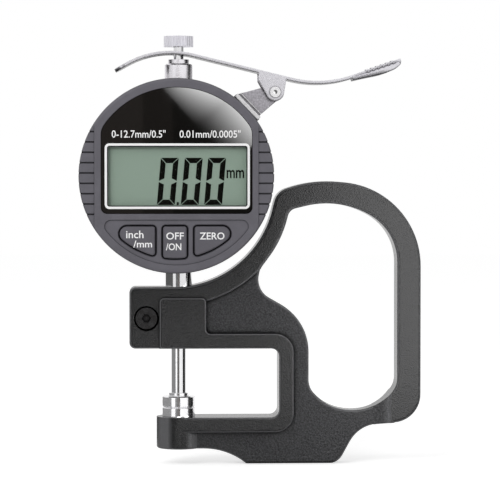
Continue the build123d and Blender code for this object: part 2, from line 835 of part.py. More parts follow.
# Front shell of the head, open to the rear
with BuildPart() as front_case:
    with BuildSketch(joint_plane):
        Circle(case_r)
    extrude(amount=joint_y + face_y)
    fillet(front_case.edges().group_by(Axis.Y)[0], case_edge)
    with BuildSketch(joint_plane):
        Circle(case_inner_r)
    extrude(amount=joint_y + face_y - front_wall, mode=Mode.SUBTRACT)
    # Blocks for the stem and for the upper bush
    with BuildSketch(case_plane.offset(-end_block_back)):
        with Locations((guide_x / 2 - case_dx, 0)):
            Rectangle(end_block_w, 2 * case_r)
            Rectangle(end_block_w, 2 * (case_inner_r - end_block_h), mode=Mode.SUBTRACT)
        Circle(case_inner_r + part_gap, mode=Mode.INTERSECT)
    extrude(amount=end_block_back + board_back - part_gap)
    # Posts of the rear cover and of the board
    with BuildSketch(joint_plane):
        with Locations(*post_spots):
            Circle(cover_post_d / 2)
        Circle(case_inner_r + part_gap, mode=Mode.INTERSECT)
    extrude(amount=joint_y + board_y)
    with BuildSketch(case_plane.offset(board_y)):
        with Locations(*board_screw_spots):
            Circle(board_post_d / 2)
    extrude(amount=face_y - front_wall - board_y)
    # Boss and flat seat of the lever bracket
    with BuildSketch(seat_plane.offset(part_gap - case_wall)):
        Circle(bracket_boss_d / 2)
    extrude(amount=-bracket_boss_l)
    with BuildSketch(seat_plane):
        Rectangle(bracket_l + 2 * part_gap, bracket_w + 4 * part_gap)
    extrude(amount=case_r - bracket_seat, mode=Mode.SUBTRACT)
    with BuildSketch(seat_plane):
        Circle(bracket_screw_d / 2 + seat_gap)
    extrude(amount=-bracket_screw_l, mode=Mode.SUBTRACT)
    # Bores along the spindle axis
    with BuildSketch(on_spindle(case_bottom)):
        Circle(stem_r + seat_gap)
    extrude(amount=stem_sunk, mode=Mode.SUBTRACT)
    with BuildSketch(on_spindle(case_bottom)):
        Circle(spigot_d / 2 + seat_gap)
    extrude(amount=bottom_block_z - case_bottom, mode=Mode.SUBTRACT)
    with BuildSketch(on_spindle(case_top)):
        Circle(bush_d / 2 + seat_gap)
    extrude(amount=-bush_sunk, mode=Mode.SUBTRACT)
    with BuildSketch(on_spindle(case_top)):
        Circle(bush_plug_d / 2 + seat_gap)
    extrude(amount=top_block_z - case_top, mode=Mode.SUBTRACT)
    with BuildSketch(on_spindle(bottom_block_z - guide_sunk)):
        with Locations((guide_x, guide_y)):
            Circle(guide_d / 2 + seat_gap)
    extrude(amount=top_block_z - bottom_block_z + 2 * guide_sunk, mode=Mode.SUBTRACT)
    # Lens recess and window
    with BuildSketch(face_plane):
        with Locations((lens_dx, 0)):
            add(lens_outline.sketch)
        offset(amount=loose_gap)
    extrude(amount=-lens_sink - lens_t, mode=Mode.SUBTRACT)
    with BuildSketch(face_plane):
        with Locations((lens_dx, 0)):
            add(window_outline.sketch)
        offset(amount=-window_ledge)
    extrude(amount=-front_wall, mode=Mode.SUBTRACT)
    # Panel and openings of the keys
    with BuildSketch(face_plane):
        add(panel_outline.sketch)
    extrude(amount=-panel_sink, mode=Mode.SUBTRACT)
    with BuildSketch(face_plane):
        with Locations((key_dx, 0)):
            add(left_opening.sketch)
            add(middle_opening.sketch)
            add(right_opening.sketch)
    extrude(amount=-front_wall, mode=Mode.SUBTRACT)
    with BuildSketch(face_plane.offset(-panel_sink)):
        with Locations((key_dx, 0)):
            add(left_opening.sketch)
            add(middle_opening.sketch)
            add(right_opening.sketch)
        offset(amount=key_mouth)
    extrude(amount=-key_mouth, taper=45, mode=Mode.SUBTRACT)
    # Grips
    with BuildSketch(face_plane):
        Circle(case_r + part_gap)
        Rectangle(2 * grip_x, 2 * (case_r + part_gap), mode=Mode.SUBTRACT)
    extrude(amount=-grip_sink, mode=Mode.SUBTRACT)
    with BuildSketch(face_plane):
        add(grooves.sketch)
        Rectangle(2 * grip_x, 2 * (case_r + part_gap), mode=Mode.SUBTRACT)
    extrude(amount=-grip_sink - grip_groove_d, mode=Mode.SUBTRACT)
    with BuildSketch(face_plane):
        add(grooves.sketch)
        Circle(case_r - grip_groove_d, mode=Mode.SUBTRACT)
    extrude(amount=-grip_l, mode=Mode.SUBTRACT)
    # Pilot holes of the screws
    with BuildSketch(joint_plane):
        with Locations(*post_spots):
            Circle(cover_screw_d / 2 + seat_gap)
    extrude(amount=cover_screw_l - cover_t, mode=Mode.SUBTRACT)
    with BuildSketch(case_plane.offset(board_y)):
        with Locations(*board_screw_spots):
            Circle(board_screw_d / 2 + seat_gap)
    extrude(amount=board_screw_l - board_t, mode=Mode.SUBTRACT)
front_case.part.label = "front_case"
export_step(front_case.part, "parts/front_case.step")

# Glossy lens plate with its window, and the clear pane in it
with BuildPart() as window_lens:
    with BuildSketch(face_plane.offset(-lens_sink)):
        with Locations((lens_dx, 0)):
            add(lens_outline.sketch)
            add(window_outline.sketch, mode=Mode.SUBTRACT)
    extrude(amount=-lens_t)
window_lens.part.label = "window_lens"
export_step(window_lens.part, "parts/window_lens.step")

with BuildPart() as window_glass:
    with BuildSketch(face_plane.offset(-lens_sink)):
        with Locations((lens_dx, 0)):
            add(window_outline.sketch)
        offset(amount=-seat_gap)
    extrude(amount=-lens_t)
window_glass.part.label = "window_glass"
export_step(window_glass.part, "parts/window_glass.step")

# Keys: each has a face, and a flange behind the wall of the case that presses on its dome
for key_name, opening in {
    "button_unit": left_opening,
    "button_power": middle_opening,
    "button_zero": right_opening,
}.items():
    with BuildPart() as key:
        with BuildSketch(face_plane.offset(key_proud)):
            with Locations((key_dx, 0)):
                add(opening.sketch)
            offset(amount=-key_side_gap)
        extrude(amount=flange_front - face_y - key_proud)
        chamfer(key.edges().group_by(Axis.Y)[0], key_edge)
        with BuildSketch(case_plane.offset(flange_front)):
            with Locations((key_dx, 0)):
                add(opening.sketch)
            offset(amount=key_flange)
        extrude(amount=-key_flange_t)
    key.part.label = key_name
    export_step(key.part, "parts/" + key_name + ".step")

# Rubber mat with a dome under each key
with BuildPart() as key_mat:
    with BuildSketch(case_plane.offset(board_y)):
        Circle(key_arc_r + mat_border)
        with Locations((0, key_top + mat_border)):
            Rectangle(2 * case_r, case_r, align=(Align.CENTER, Align.MAX), mode=Mode.INTERSECT)
    extrude(amount=mat_t)
    with BuildSketch(case_plane.offset(board_y + mat_t)):
        with Locations(*dome_spots):
            Circle(dome_d / 2)
    extrude(amount=dome_h, taper=dome_taper)
key_mat.part.label = "key_mat"
export_step(key_mat.part, "parts/key_mat.step")

# Display, its holder and the elastomer strips that join it to the board
with BuildPart() as lcd_panel:
    with BuildSketch(case_plane.offset(lcd_front)):
        with Locations((window_dx, window_dz)):
            Rectangle(lcd_w, lcd_h)
    extrude(amount=-lcd_t)
lcd_panel.part.label = "lcd_panel"
export_step(lcd_panel.part, "parts/lcd_panel.step")

with BuildPart() as lcd_frame:
    with BuildSketch(case_plane.offset(lcd_front)):
        with Locations((window_dx, window_dz)):
            Rectangle(lcd_w + 2 * lcd_frame_border, lcd_h + 2 * lcd_frame_border)
        Circle(board_r, mode=Mode.INTERSECT)
        with Locations((window_dx, window_dz)):
            Rectangle(lcd_w + 2 * seat_gap, lcd_h + 2 * seat_gap, mode=Mode.SUBTRACT)
    extrude(amount=board_y - lcd_front)
lcd_frame.part.label = "lcd_frame"
export_step(lcd_frame.part, "parts/lcd_frame.step")

with BuildPart() as contact_strips:
    with BuildSketch(case_plane.offset(board_y)):
        with Locations((window_dx, window_dz)):
            with GridLocations(0, lcd_h - strip_w - lcd_frame_border, 1, 2):
                Rectangle(strip_l, strip_w)
    extrude(amount=lcd_front - lcd_t - board_y)
contact_strips.part.label = "contact_strips"
export_step(contact_strips.part, "parts/contact_strips.step")

# Main board, with the posts of the rear cover passing through its edge
with BuildPart() as main_board:
    with BuildSketch(case_plane.offset(board_y)):
        Circle(board_r)
        with Locations(*post_spots):
            Circle(cover_post_d / 2 + cover_post_gap, mode=Mode.SUBTRACT)
        with Locations(*board_screw_spots):
            Circle(board_screw_d / 2 + screw_gap, mode=Mode.SUBTRACT)
    extrude(amount=-board_t)
main_board.part.label = "main_board"
export_step(main_board.part, "parts/main_board.step")

with BuildPart() as board_chips:
    with BuildSketch(case_plane.offset(board_back)):
        for chip_in, chip_z, chip_w, chip_h in chip_sizes:
            with Locations((board_r - chip_in, chip_z)):
                Rectangle(chip_w, chip_h)
    extrude(amount=-chip_t)
board_chips.part.label = "board_chips"
export_step(board_chips.part, "parts/board_chips.step")

with BuildPart() as board_screws:
    with BuildSketch(case_plane.offset(board_back)):
        with Locations(*board_screw_spots):
            Circle(small_head_d / 2)
    extrude(amount=-small_head_h)
    with BuildSketch(case_plane.offset(board_back - small_head_h)):
        with Locations(*board_screw_spots):
            Rectangle(cross_l, cross_w)
            Rectangle(cross_w, cross_l)
    extrude(amount=cross_depth, mode=Mode.SUBTRACT)
    with BuildSketch(case_plane.offset(board_back)):
        with Locations(*board_screw_spots):
            Circle(board_screw_d / 2)
    extrude(amount=board_screw_l)
board_screws.part.label = "board_screws"
export_step(board_screws.part, "parts/board_screws.step")

# Coin cell, and the sheet contacts between it and the board
battery_spot = (battery_x, battery_dz)
with BuildPart() as battery_cell:
    with BuildSketch(case_plane.offset(-battery_front)):
        with Locations(battery_spot):
            Circle(battery_d / 2)
    extrude(amount=-battery_t)
    chamfer(battery_cell.edges(), edge_break)
battery_cell.part.label = "battery_cell"
export_step(battery_cell.part, "parts/battery_cell.step")

with BuildPart() as battery_contacts:
    with BuildSketch(Plane.XY.offset(dial_z + battery_dz)):
        with BuildLine():
            Polyline(*cell_face_contact)
        trace(line_width=contact_t)
    extrude(amount=contact_w / 2, both=True)
    with BuildSketch(Plane.YZ.offset(case_x + battery_x)):
        with BuildLine():
            Polyline(*cell_side_contact)
        trace(line_width=contact_t)
    extrude(amount=contact_w / 2, both=True)
battery_contacts.part.label = "battery_contacts"
export_step(battery_contacts.part, "parts/battery_contacts.step")

# Rear cover with the cup of the coin cell and the seat of its cap
with BuildPart() as rear_cover:
    with BuildSketch(joint_plane):
        Circle(case_r - cover_inset)
    extrude(amount=-cover_t)
    fillet(rear_cover.edges().group_by(Axis.Y)[-1], cover_edge)
    with BuildSketch(joint_plane):
        Circle(lip_r)
        Circle(lip_r - cover_lip_t, mode=Mode.SUBTRACT)
        with Locations(*post_spots):
            Circle(cover_post_d / 2 + part_gap, mode=Mode.SUBTRACT)
    extrude(amount=cover_lip_h)
    with BuildSketch(joint_plane):
        with Locations(battery_spot):
            Circle(cup_r + battery_wall_t)
        Circle(lip_r, mode=Mode.INTERSECT)
    extrude(amount=joint_y - cup_front)
    with BuildSketch(case_plane.offset(-back_y)):
        with Locations(battery_spot):
            Circle(cup_r)
    extrude(amount=back_y - battery_front, mode=Mode.SUBTRACT)
    with BuildSketch(case_plane.offset(-back_y)):
        with Locations(battery_spot):
            Circle(battery_d / 2 - battery_ledge)
    extrude(amount=back_y - cup_front, mode=Mode.SUBTRACT)
    # Slot in the cup for the side contact
    with BuildSketch(joint_plane):
        with Locations((battery_x, battery_dz + cup_r)):
            Rectangle(contact_w + 2 * part_gap, 2 * battery_wall_t + 2 * part_gap)
    extrude(amount=joint_y - cup_front, mode=Mode.SUBTRACT)
    # Bore of the cap, the groove for its lugs and their entry slots
    with BuildSketch(case_plane.offset(-back_y)):
        with Locations(battery_spot):
            Circle(cap_d / 2 + loose_gap)
            with PolarLocations(0, 2, start_angle=cap_turn):
                Rectangle(2 * (cap_lug_r + loose_gap), cap_lug_w + 2 * part_gap)
        with Locations(battery_spot):
            Circle(cap_lug_r + loose_gap, mode=Mode.INTERSECT)
    extrude(amount=back_y - cap_front, mode=Mode.SUBTRACT)
    with BuildSketch(case_plane.offset(-cap_front)):
        with Locations(battery_spot):
            Circle(cap_lug_r + loose_gap)
    extrude(amount=-cap_lug_h - loose_gap, mode=Mode.SUBTRACT)
    # Counterbored holes of the cover screws
    with BuildSketch(case_plane.offset(-back_y)):
        with Locations(*post_spots):
            Circle(cover_head_d / 2 + screw_gap)
    extrude(amount=cover_head_h + cover_head_sunk, mode=Mode.SUBTRACT)
    with BuildSketch(case_plane.offset(-back_y)):
        with Locations(*post_spots):
            Circle(cover_screw_d / 2 + screw_gap)
    extrude(amount=cover_t, mode=Mode.SUBTRACT)
rear_cover.part.label = "rear_cover"
export_step(rear_cover.part, "parts/rear_cover.step")

with BuildPart() as rear_cover_screws:
    with BuildSketch(cover_head_plane):
        with Locations(*post_spots):
            Circle(cover_head_d / 2)
    extrude(amount=-cover_head_h)
    with BuildSketch(cover_head_plane.offset(-cover_head_h)):
        with Locations(*post_spots):
            Rectangle(cross_l, cross_w)
            Rectangle(cross_w, cross_l)
    extrude(amount=cross_depth, mode=Mode.SUBTRACT)
    with BuildSketch(cover_head_plane):
        with Locations(*post_spots):
            Circle(cover_screw_d / 2)
    extrude(amount=cover_screw_l - cover_t)
rear_cover_screws.part.label = "rear_cover_screws"
export_step(rear_cover_screws.part, "parts/rear_cover_screws.step")

# Coin-slot cap with two lugs
with BuildPart() as battery_cap:
    with BuildSketch(cap_plane):
        Circle(cap_d / 2)
    extrude(amount=-cap_t)
    chamfer(battery_cap.edges().group_by(Axis.Y)[-1], edge_break)
    with BuildSketch(cap_plane):
        Rectangle(2 * cap_lug_r, cap_lug_w)
        Circle(cap_lug_r, mode=Mode.INTERSECT)
    extrude(amount=-cap_lug_h)
    with BuildSketch(cap_plane.offset(-cap_t)):
        SlotOverall(coin_slot_l, coin_slot_w)
    extrude(amount=coin_slot_d, mode=Mode.SUBTRACT)
battery_cap.part.label = "battery_cap"
export_step(battery_cap.part, "parts/battery_cap.step")

# Thumb leaf of the lever: a flared sheet, cambered across, with ribs over its top
upright = 90.0
camber_half = degrees(asin(paddle_w / paddle_camber_r))
with BuildPart() as paddle_blank:
    with BuildSketch(paddle_plane):
        with BuildLine():
            CenterArc(
                (0, -paddle_camber_r), paddle_camber_r, upright - camber_half, 2 * camber_half
            )
        trace(line_width=lever_t)
    extrude(amount=paddle_l)
    with BuildSketch(leaf_plane):
        with BuildLine():
            leaf = FilletPolyline(
                (0, lever_w / 2),
                (paddle_flare_l, paddle_w / 2),
                (paddle_l, paddle_w / 2),
                (paddle_l, -paddle_w / 2),
                (paddle_flare_l, -paddle_w / 2),
                (0, -lever_w / 2),
                radius=[paddle_flare_r, paddle_tip_r, paddle_tip_r, paddle_flare_r],
            )
            Line(leaf @ 1, leaf @ 0)
        make_face()
    extrude(amount=paddle_w, both=True, mode=Mode.INTERSECT)
    for rib in range(rib_count):
        with BuildSketch(paddle_plane.offset(rib_start + rib * rib_pitch)):
            with BuildLine():
                CenterArc(
                    (0, -paddle_camber_r),
                    paddle_camber_r + lever_t / 2,
                    upright - rib_half_angle,
                    2 * rib_half_angle,
                )
            trace(line_width=2 * rib_h)
        extrude(amount=rib_l)

# Lift lever: one curved sheet with a slot round the rod and two ears at the hinge
with BuildPart() as lift_lever:
    with BuildSketch(lever_plane):
        with BuildLine():
            FilletPolyline(
                lever_tip, lever_crest, lever_sag, paddle_tip, radius=[lever_crest_r, lever_sag_r]
            )
        trace(line_width=lever_t)
    extrude(amount=lever_w / 2, both=True)
    fillet(
        lift_lever.edges().filter_by(lambda e: e.length < 2 * lever_t).sort_by(Axis.X)[:2],
        lever_tip_r,
    )
    with BuildSketch(Plane.XY.offset(pin_z)):
        with Locations((spindle_x + slot_start - slot_l / 2, 0)):
            SlotOverall(slot_l, slot_w)
    extrude(amount=case_top, mode=Mode.SUBTRACT)
    for side in (-1, 1):
        with BuildSketch(front.offset(side * (lever_w - ear_t) / 2)):
            with Locations((pin_x, pin_z)):
                Circle(ear_low)
            with BuildLine():
                Polyline(
                    (pin_x - ear_left, pin_z + ear_shoulder),
                    (pin_x - ear_left, lever_slope_z(pin_x - ear_left)),
                    (pin_x + ear_right, lever_slope_z(pin_x + ear_right)),
                    (pin_x, pin_z),
                    close=True,
                )
            make_face()
            make_hull()
        extrude(amount=ear_t / 2, both=True)
    with BuildSketch(front):
        with Locations((pin_x, pin_z)):
            Circle(pin_d / 2 + running_gap)
    extrude(amount=lever_w, both=True, mode=Mode.SUBTRACT)
    add(paddle_blank.part)
lift_lever.part.label = "lift_lever"
export_step(lift_lever.part, "parts/lift_lever.step")

# Sheet bracket that carries the hinge, seated flat on the rim of the case
bracket_pin = bracket_plane.to_local_coords(Vector(pin_x, 0, pin_z))
with BuildPart() as lever_bracket:
    with BuildSketch(bracket_plane):
        with Locations((-bracket_l / 2, 0)):
            Rectangle(bracket_l / 2 + bracket_web_end, bracket_t, align=Align.MIN)
        with Locations((bracket_pin.X, bracket_pin.Y)):
            Circle(bracket_web_tip_r)
        make_hull()
    extrude(amount=bracket_w / 2, both=True)
    with BuildSketch(bracket_plane):
        with Locations((0, bracket_t)):
            Rectangle(
                2 * (bracket_l + bracket_web_tip_r),
                bracket_pin.Y + bracket_web_tip_r,
                align=(Align.CENTER, Align.MIN),
            )
    extrude(amount=bracket_w / 2 - bracket_t, both=True, mode=Mode.SUBTRACT)
    with BuildSketch(seat_plane):
        Rectangle(bracket_l, bracket_w)
    extrude(amount=bracket_t)
    fillet(
        lever_bracket.faces().sort_by(Axis(seat_plane.origin, seat_plane.z_dir))[0]
        .edges().filter_by(Axis(seat_plane.origin, seat_plane.x_dir)),
        bracket_bend_r,
    )
    with BuildSketch(seat_plane):
        Circle(bracket_screw_d / 2 + screw_gap)
    extrude(amount=bracket_t, mode=Mode.SUBTRACT)
    with BuildSketch(bracket_plane):
        with Locations((bracket_pin.X, bracket_pin.Y)):
            Circle(pin_d / 2 + seat_gap)
    extrude(amount=bracket_w, both=True, mode=Mode.SUBTRACT)
lever_bracket.part.label = "lever_bracket"
export_step(lever_bracket.part, "parts/lever_bracket.step")

with BuildPart() as bracket_screw:
    with BuildSketch(seat_plane.offset(bracket_t)):
        Circle(bracket_head_d / 2)
    extrude(amount=bracket_head_h)
    with BuildSketch(seat_plane.offset(bracket_t + bracket_head_h)):
        Rectangle(cross_l, cross_w)
        Rectangle(cross_w, cross_l)
    extrude(amount=-cross_depth, mode=Mode.SUBTRACT)
    with BuildSketch(seat_plane.offset(bracket_t)):
        Circle(bracket_screw_d / 2)
    extrude(amount=screw_end_gap - bracket_t - bracket_screw_l)
bracket_screw.part.label = "bracket_screw"
export_step(bracket_screw.part, "parts/bracket_screw.step")

# Hollow rivet, the hinge of the lever
with BuildPart() as lever_pin:
    with BuildSketch(pin_plane):
        Circle(pin_d / 2)
    extrude(amount=pin_half_l, both=True)
    with BuildSketch(pin_plane.offset(pin_half_l)):
        Circle(pin_head_d / 2)
    extrude(amount=pin_head_t)
    with BuildSketch(pin_plane.offset(-pin_half_l)):
        Circle(pin_head_d / 2)
    extrude(amount=-pin_head_t)
    with BuildSketch(pin_plane):
        Circle(pin_bore_d / 2)
    extrude(amount=lever_w, both=True, mode=Mode.SUBTRACT)
lever_pin.part.label = "lever_pin"
export_step(lever_pin.part, "parts/lever_pin.step")
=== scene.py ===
"""Looks of the digital thickness gauge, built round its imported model.

Metres, +Z up. The origin is the middle of the flat foot, and the display faces -Y.
"""

import math

import bpy
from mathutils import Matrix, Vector


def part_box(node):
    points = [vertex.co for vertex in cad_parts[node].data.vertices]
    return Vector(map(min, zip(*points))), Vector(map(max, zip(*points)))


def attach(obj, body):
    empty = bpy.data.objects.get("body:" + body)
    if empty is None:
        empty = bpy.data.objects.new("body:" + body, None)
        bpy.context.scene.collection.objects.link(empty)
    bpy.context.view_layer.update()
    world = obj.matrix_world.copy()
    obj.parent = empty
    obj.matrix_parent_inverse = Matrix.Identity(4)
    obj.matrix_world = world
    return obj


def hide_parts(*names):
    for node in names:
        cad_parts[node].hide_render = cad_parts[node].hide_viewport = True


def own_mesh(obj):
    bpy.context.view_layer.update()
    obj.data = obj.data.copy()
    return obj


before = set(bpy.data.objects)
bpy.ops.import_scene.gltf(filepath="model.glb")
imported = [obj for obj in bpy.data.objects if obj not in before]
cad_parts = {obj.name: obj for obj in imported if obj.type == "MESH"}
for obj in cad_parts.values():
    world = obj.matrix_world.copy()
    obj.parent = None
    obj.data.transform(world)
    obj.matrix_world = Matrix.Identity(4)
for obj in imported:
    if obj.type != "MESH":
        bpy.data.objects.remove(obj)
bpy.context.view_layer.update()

MM = 0.001


def middle(node):
    """Middle of a CAD node's box at rest."""
    low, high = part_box(node)
    return [(a + b) / 2 for a, b in zip(low, high)]


# Places taken from the imported pieces
SPINDLE_X = middle("spindle")[0]
CASE_X, _, DIAL_Z = middle("rear_cover")
WINDOW_X, _, WINDOW_Z = middle("window_glass")
LENS_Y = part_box("window_lens")[0][1]
LCD_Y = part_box("lcd_panel")[0][1]
KEY_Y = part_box("button_zero")[0][1]

# Camera
TARGET = Vector((-11.2 * MM, 0, 64.4 * MM))
DISTANCE = 0.750
YAW = math.radians(-2.5)
ELEVATION = math.radians(1.7)
PIXELS_PER_M = 3300.0       # at the spindle axis
PHOTO_W = 500

# World and floor
SKY_LIGHT = 0.55            # what the white world gives the object
FLOOR_GLOW = 0.55           # added to the floor where it is seen directly
FLOOR_TONE = 0.8
FLOOR_SIDE = 4.0
FLOOR_Z = -0.2 * MM

# Flags: how near the floor they lie, and how far from the spindle their walls stand
GROUND = 0.3 * MM
FAR = 1.0
SIDE = 0.6
WHITE = (1.0, 1.0, 1.0)
WARM = (1.0, 0.86, 0.78)

# Soft box that the lens mirrors: a place on its edge, its directions and its size
LENS_BOX_EDGE = Vector((-10.6 * MM, -750 * MM, 116.3 * MM))
LENS_BOX_ALONG = Vector((-21.0, 0, 23.4)).normalized()
LENS_BOX_INWARD = Vector((23.4, 0, 21.0)).normalized()
LENS_BOX_LOW = -30 * MM
LENS_BOX_HIGH = 40 * MM
LENS_BOX_DEPTH = 40 * MM

# Its glow: where it starts and levels off from the edge, its scale, how much faster than
# evenly it grows, and where and how much more it is lit towards the upper end
LENS_GLOW_START = -1.5 * MM
LENS_GLOW_STOP = 26 * MM
LENS_GLOW = 26.0
LENS_GLOW_CURVE = 0.025
LENS_GLOW_UP_TO = 25 * MM
LENS_GLOW_UPPER = 0.8

# Window in the lens, its printed border, and the shade inside its edges
WINDOW_W = 41.9 * MM
WINDOW_H = 18.15 * MM
WINDOW_CORNER = 0.7 * MM
BORDER = 0.7 * MM
SHADE_START = 0.7 * MM
SHADE_STOP = 1.3 * MM
SHADE = 0.68

# Prints
PRINT_T = 0.03 * MM
TEXT_HALF_T = 0.01 * MM
CAP_SHARE = 0.7             # capital height over font size, before the text is fitted

# Digits and decimal point, from the middle of the case
DIGIT_W = 5.35 * MM
DIGIT_H = 14.1 * MM
DIGIT_BASE = -8.7 * MM
DIGIT_LEFTS = (-5.88 * MM, 1.28 * MM, 8.27 * MM)
BAR = 1.58 * MM
BAR_GAP = 0.14 * MM
SLANT = math.tan(math.radians(5.0))
POINT_LEFT = 0.02 * MM
POINT_BASE = -8.75 * MM
POINT_W = 0.65 * MM
POINT_H = 0.9 * MM

# Return spring
COIL_R = 2.7 * MM
WIRE_R = 0.2 * MM
TURNS = 9
TURN_STEPS = 28
WIRE_SIDES = 8

# Bars folded in the sheet over the bracket's foot, seen from the middle of the case:
# near side, far side, half length and height over the sheet
BRACKET_ANGLE = math.radians(44.0)
STRIP_BARS = (
    (29.3 * MM, 30.6 * MM, 4.9 * MM, 0.45 * MM),
    (31.1 * MM, 31.5 * MM, 4.4 * MM, 0.3 * MM),
)
STRIP_CHAMFER = 0.12 * MM
STRIP_SUNK = 0.02 * MM

# Samples and thresholds shared by the materials
EDGE_SAMPLES = 6
CREVICE_SAMPLES = 8
CREVICE_DARK = 0.4          # share of open sky at which a gap is darkest
CREVICE_OPEN = 0.9          # and from which it isn't darkened
NOISE_LOW = 0.3             # most of a noise lies between these
NOISE_HIGH = 0.7
LEVEL = -0.02               # upward part of a direction that is about level
DOWNWARD = -0.4             # and of one that counts as the underside


def make_camera():
    data = bpy.data.cameras.new("camera")
    data.sensor_width = 36.0
    data.lens = PIXELS_PER_M * DISTANCE * data.sensor_width / PHOTO_W
    data.clip_start = 0.05
    data.clip_end = 20.0
    camera = bpy.data.objects.new("camera", data)
    back = Vector((
        math.sin(YAW) * math.cos(ELEVATION),
        -math.cos(YAW) * math.cos(ELEVATION),
        math.sin(ELEVATION),
    ))
    camera.location = TARGET + back * DISTANCE
    camera.rotation_mode = "QUATERNION"
    camera.rotation_quaternion = (-back).to_track_quat("-Z", "Y")
    bpy.context.scene.collection.objects.link(camera)
    bpy.context.scene.camera = camera


def add_mesh(name, points, faces, material):
    mesh = bpy.data.meshes.new(name)
    mesh.from_pydata(points, [], faces)
    mesh.materials.append(material)
    shape = bpy.data.objects.new(name, mesh)
    bpy.context.scene.collection.objects.link(shape)
    return shape


# Nodes of a material or world, which is the owner
def graph(owner):
    return owner.node_tree.nodes, owner.node_tree.links


def put(owner, value, socket):
    """Sets a socket to a plain value, or links another socket to it."""
    if isinstance(value, bpy.types.NodeSocket):
        owner.node_tree.links.new(value, socket)
    else:
        socket.default_value = value


def calc(owner, operation, *values):
    """Result of a Math node."""
    node = owner.node_tree.nodes.new("ShaderNodeMath")
    node.operation = operation
    for value, socket in zip(values, node.inputs):
        put(owner, value, socket)
    return node.outputs[0]


def ramp(owner, value, start, stop, low=0.0, high=1.0):
    """A number that goes from low to high while value goes from start to stop."""
    node = owner.node_tree.nodes.new("ShaderNodeMapRange")
    names = ("Value", "From Min", "From Max", "To Min", "To Max")
    for name, number in zip(names, (value, start, stop, low, high)):
        put(owner, number, node.inputs[name])
    return node.outputs["Result"]


def between(owner, share, low, high):
    """A number that goes from low to high while share goes from 0 to 1."""
    return ramp(owner, share, 0.0, 1.0, low, high)


def axis_of(owner, vector, axis):
    nodes, links = graph(owner)
    parts = nodes.new("ShaderNodeSeparateXYZ")
    links.new(vector, parts.inputs[0])
    return parts.outputs[axis]


def add_shaders(owner, first, second):
    nodes, links = graph(owner)
    node = nodes.new("ShaderNodeAddShader")
    links.new(first, node.inputs[0])
    links.new(second, node.inputs[1])
    return node.outputs[0]


def bare_material(name):
    """A material with no shader, and the socket that takes one."""
    material = bpy.data.materials.new(name)
    material.use_nodes = True
    nodes = material.node_tree.nodes
    nodes.clear()
    return material, nodes.new("ShaderNodeOutputMaterial").inputs["Surface"]


def glow(material, strength, color=WHITE):
    node = material.node_tree.nodes.new("ShaderNodeEmission")
    node.inputs["Color"].default_value = (*color, 1)
    put(material, strength, node.inputs["Strength"])
    return node.outputs[0]


# Stage and light
def seen_directly(owner):
    """1 for camera, mirror and glass rays, 0 for the rest."""
    rays = owner.node_tree.nodes.new("ShaderNodeLightPath").outputs
    seen = calc(owner, "MAXIMUM", rays["Is Camera Ray"], rays["Is Glossy Ray"])
    return calc(owner, "MAXIMUM", seen, rays["Is Transmission Ray"])


def make_world():
    world = bpy.data.worlds.new("world")
    world.use_nodes = True
    background = world.node_tree.nodes["Background"].inputs
    background["Color"].default_value = (*WHITE, 1)
    put(world, between(world, seen_directly(world), SKY_LIGHT, 1.0), background["Strength"])
    bpy.context.scene.world = world


def make_floor():
    material, surface = bare_material("floor_white")
    nodes, links = graph(material)
    diffuse = nodes.new("ShaderNodeBsdfDiffuse")
    diffuse.inputs["Color"].default_value = (FLOOR_TONE, FLOOR_TONE, FLOOR_TONE, 1)
    shine = glow(material, between(material, seen_directly(material), 0.0, FLOOR_GLOW))
    links.new(add_shaders(material, diffuse.outputs[0], shine), surface)
    half = FLOOR_SIDE / 2
    corners = [(x * half, y * half, FLOOR_Z) for x, y in ((-1, -1), (1, -1), (1, 1), (-1, 1))]
    add_mesh("floor", corners, [(0, 1, 2, 3)], material)


def add_lamp(name, location, size, power):
    """Soft lamp aimed at the middle of the view, which mirrors don't show."""
    data = bpy.data.lights.new(name, "AREA")
    data.shape = "RECTANGLE"
    data.size, data.size_y = size
    data.energy = power
    lamp = bpy.data.objects.new(name, data)
    lamp.location = location
    lamp.rotation_mode = "QUATERNION"
    lamp.rotation_quaternion = (TARGET - lamp.location).to_track_quat("-Z", "Y")
    lamp.visible_glossy = False
    bpy.context.scene.collection.objects.link(lamp)


def make_lights():
    add_lamp("key_light", location=(-0.36, -0.5, 0.4), size=(0.4, 0.4), power=2.1)
    add_lamp("fill_light", location=(0.6, -0.6, 0.35), size=(0.5, 0.6), power=0.6)


# Cards that only reflections see, as in a product studio
def card_glow(name, tone, color=WHITE, clear=False):
    """An even glow, which a clear card adds to what is behind it."""
    material, surface = bare_material(name)
    nodes, links = graph(material)
    shader = glow(material, tone, color)
    if clear:
        shader = add_shaders(material, shader, nodes.new("ShaderNodeBsdfTransparent").outputs[0])
    links.new(shader, surface)
    return material


def add_card(name, points, faces, material, lit=()):
    """A card seen in mirrors alone. Where lit names pieces, it lights no others."""
    card = add_mesh(name, points, faces, material)
    card.visible_camera = False
    card.visible_diffuse = False
    card.visible_shadow = False
    card.visible_transmission = False
    if lit:
        group = bpy.data.collections.new(name + "_lit")
        for node in lit:
            group.objects.link(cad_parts[node])
        card.light_linking.receiver_collection = group


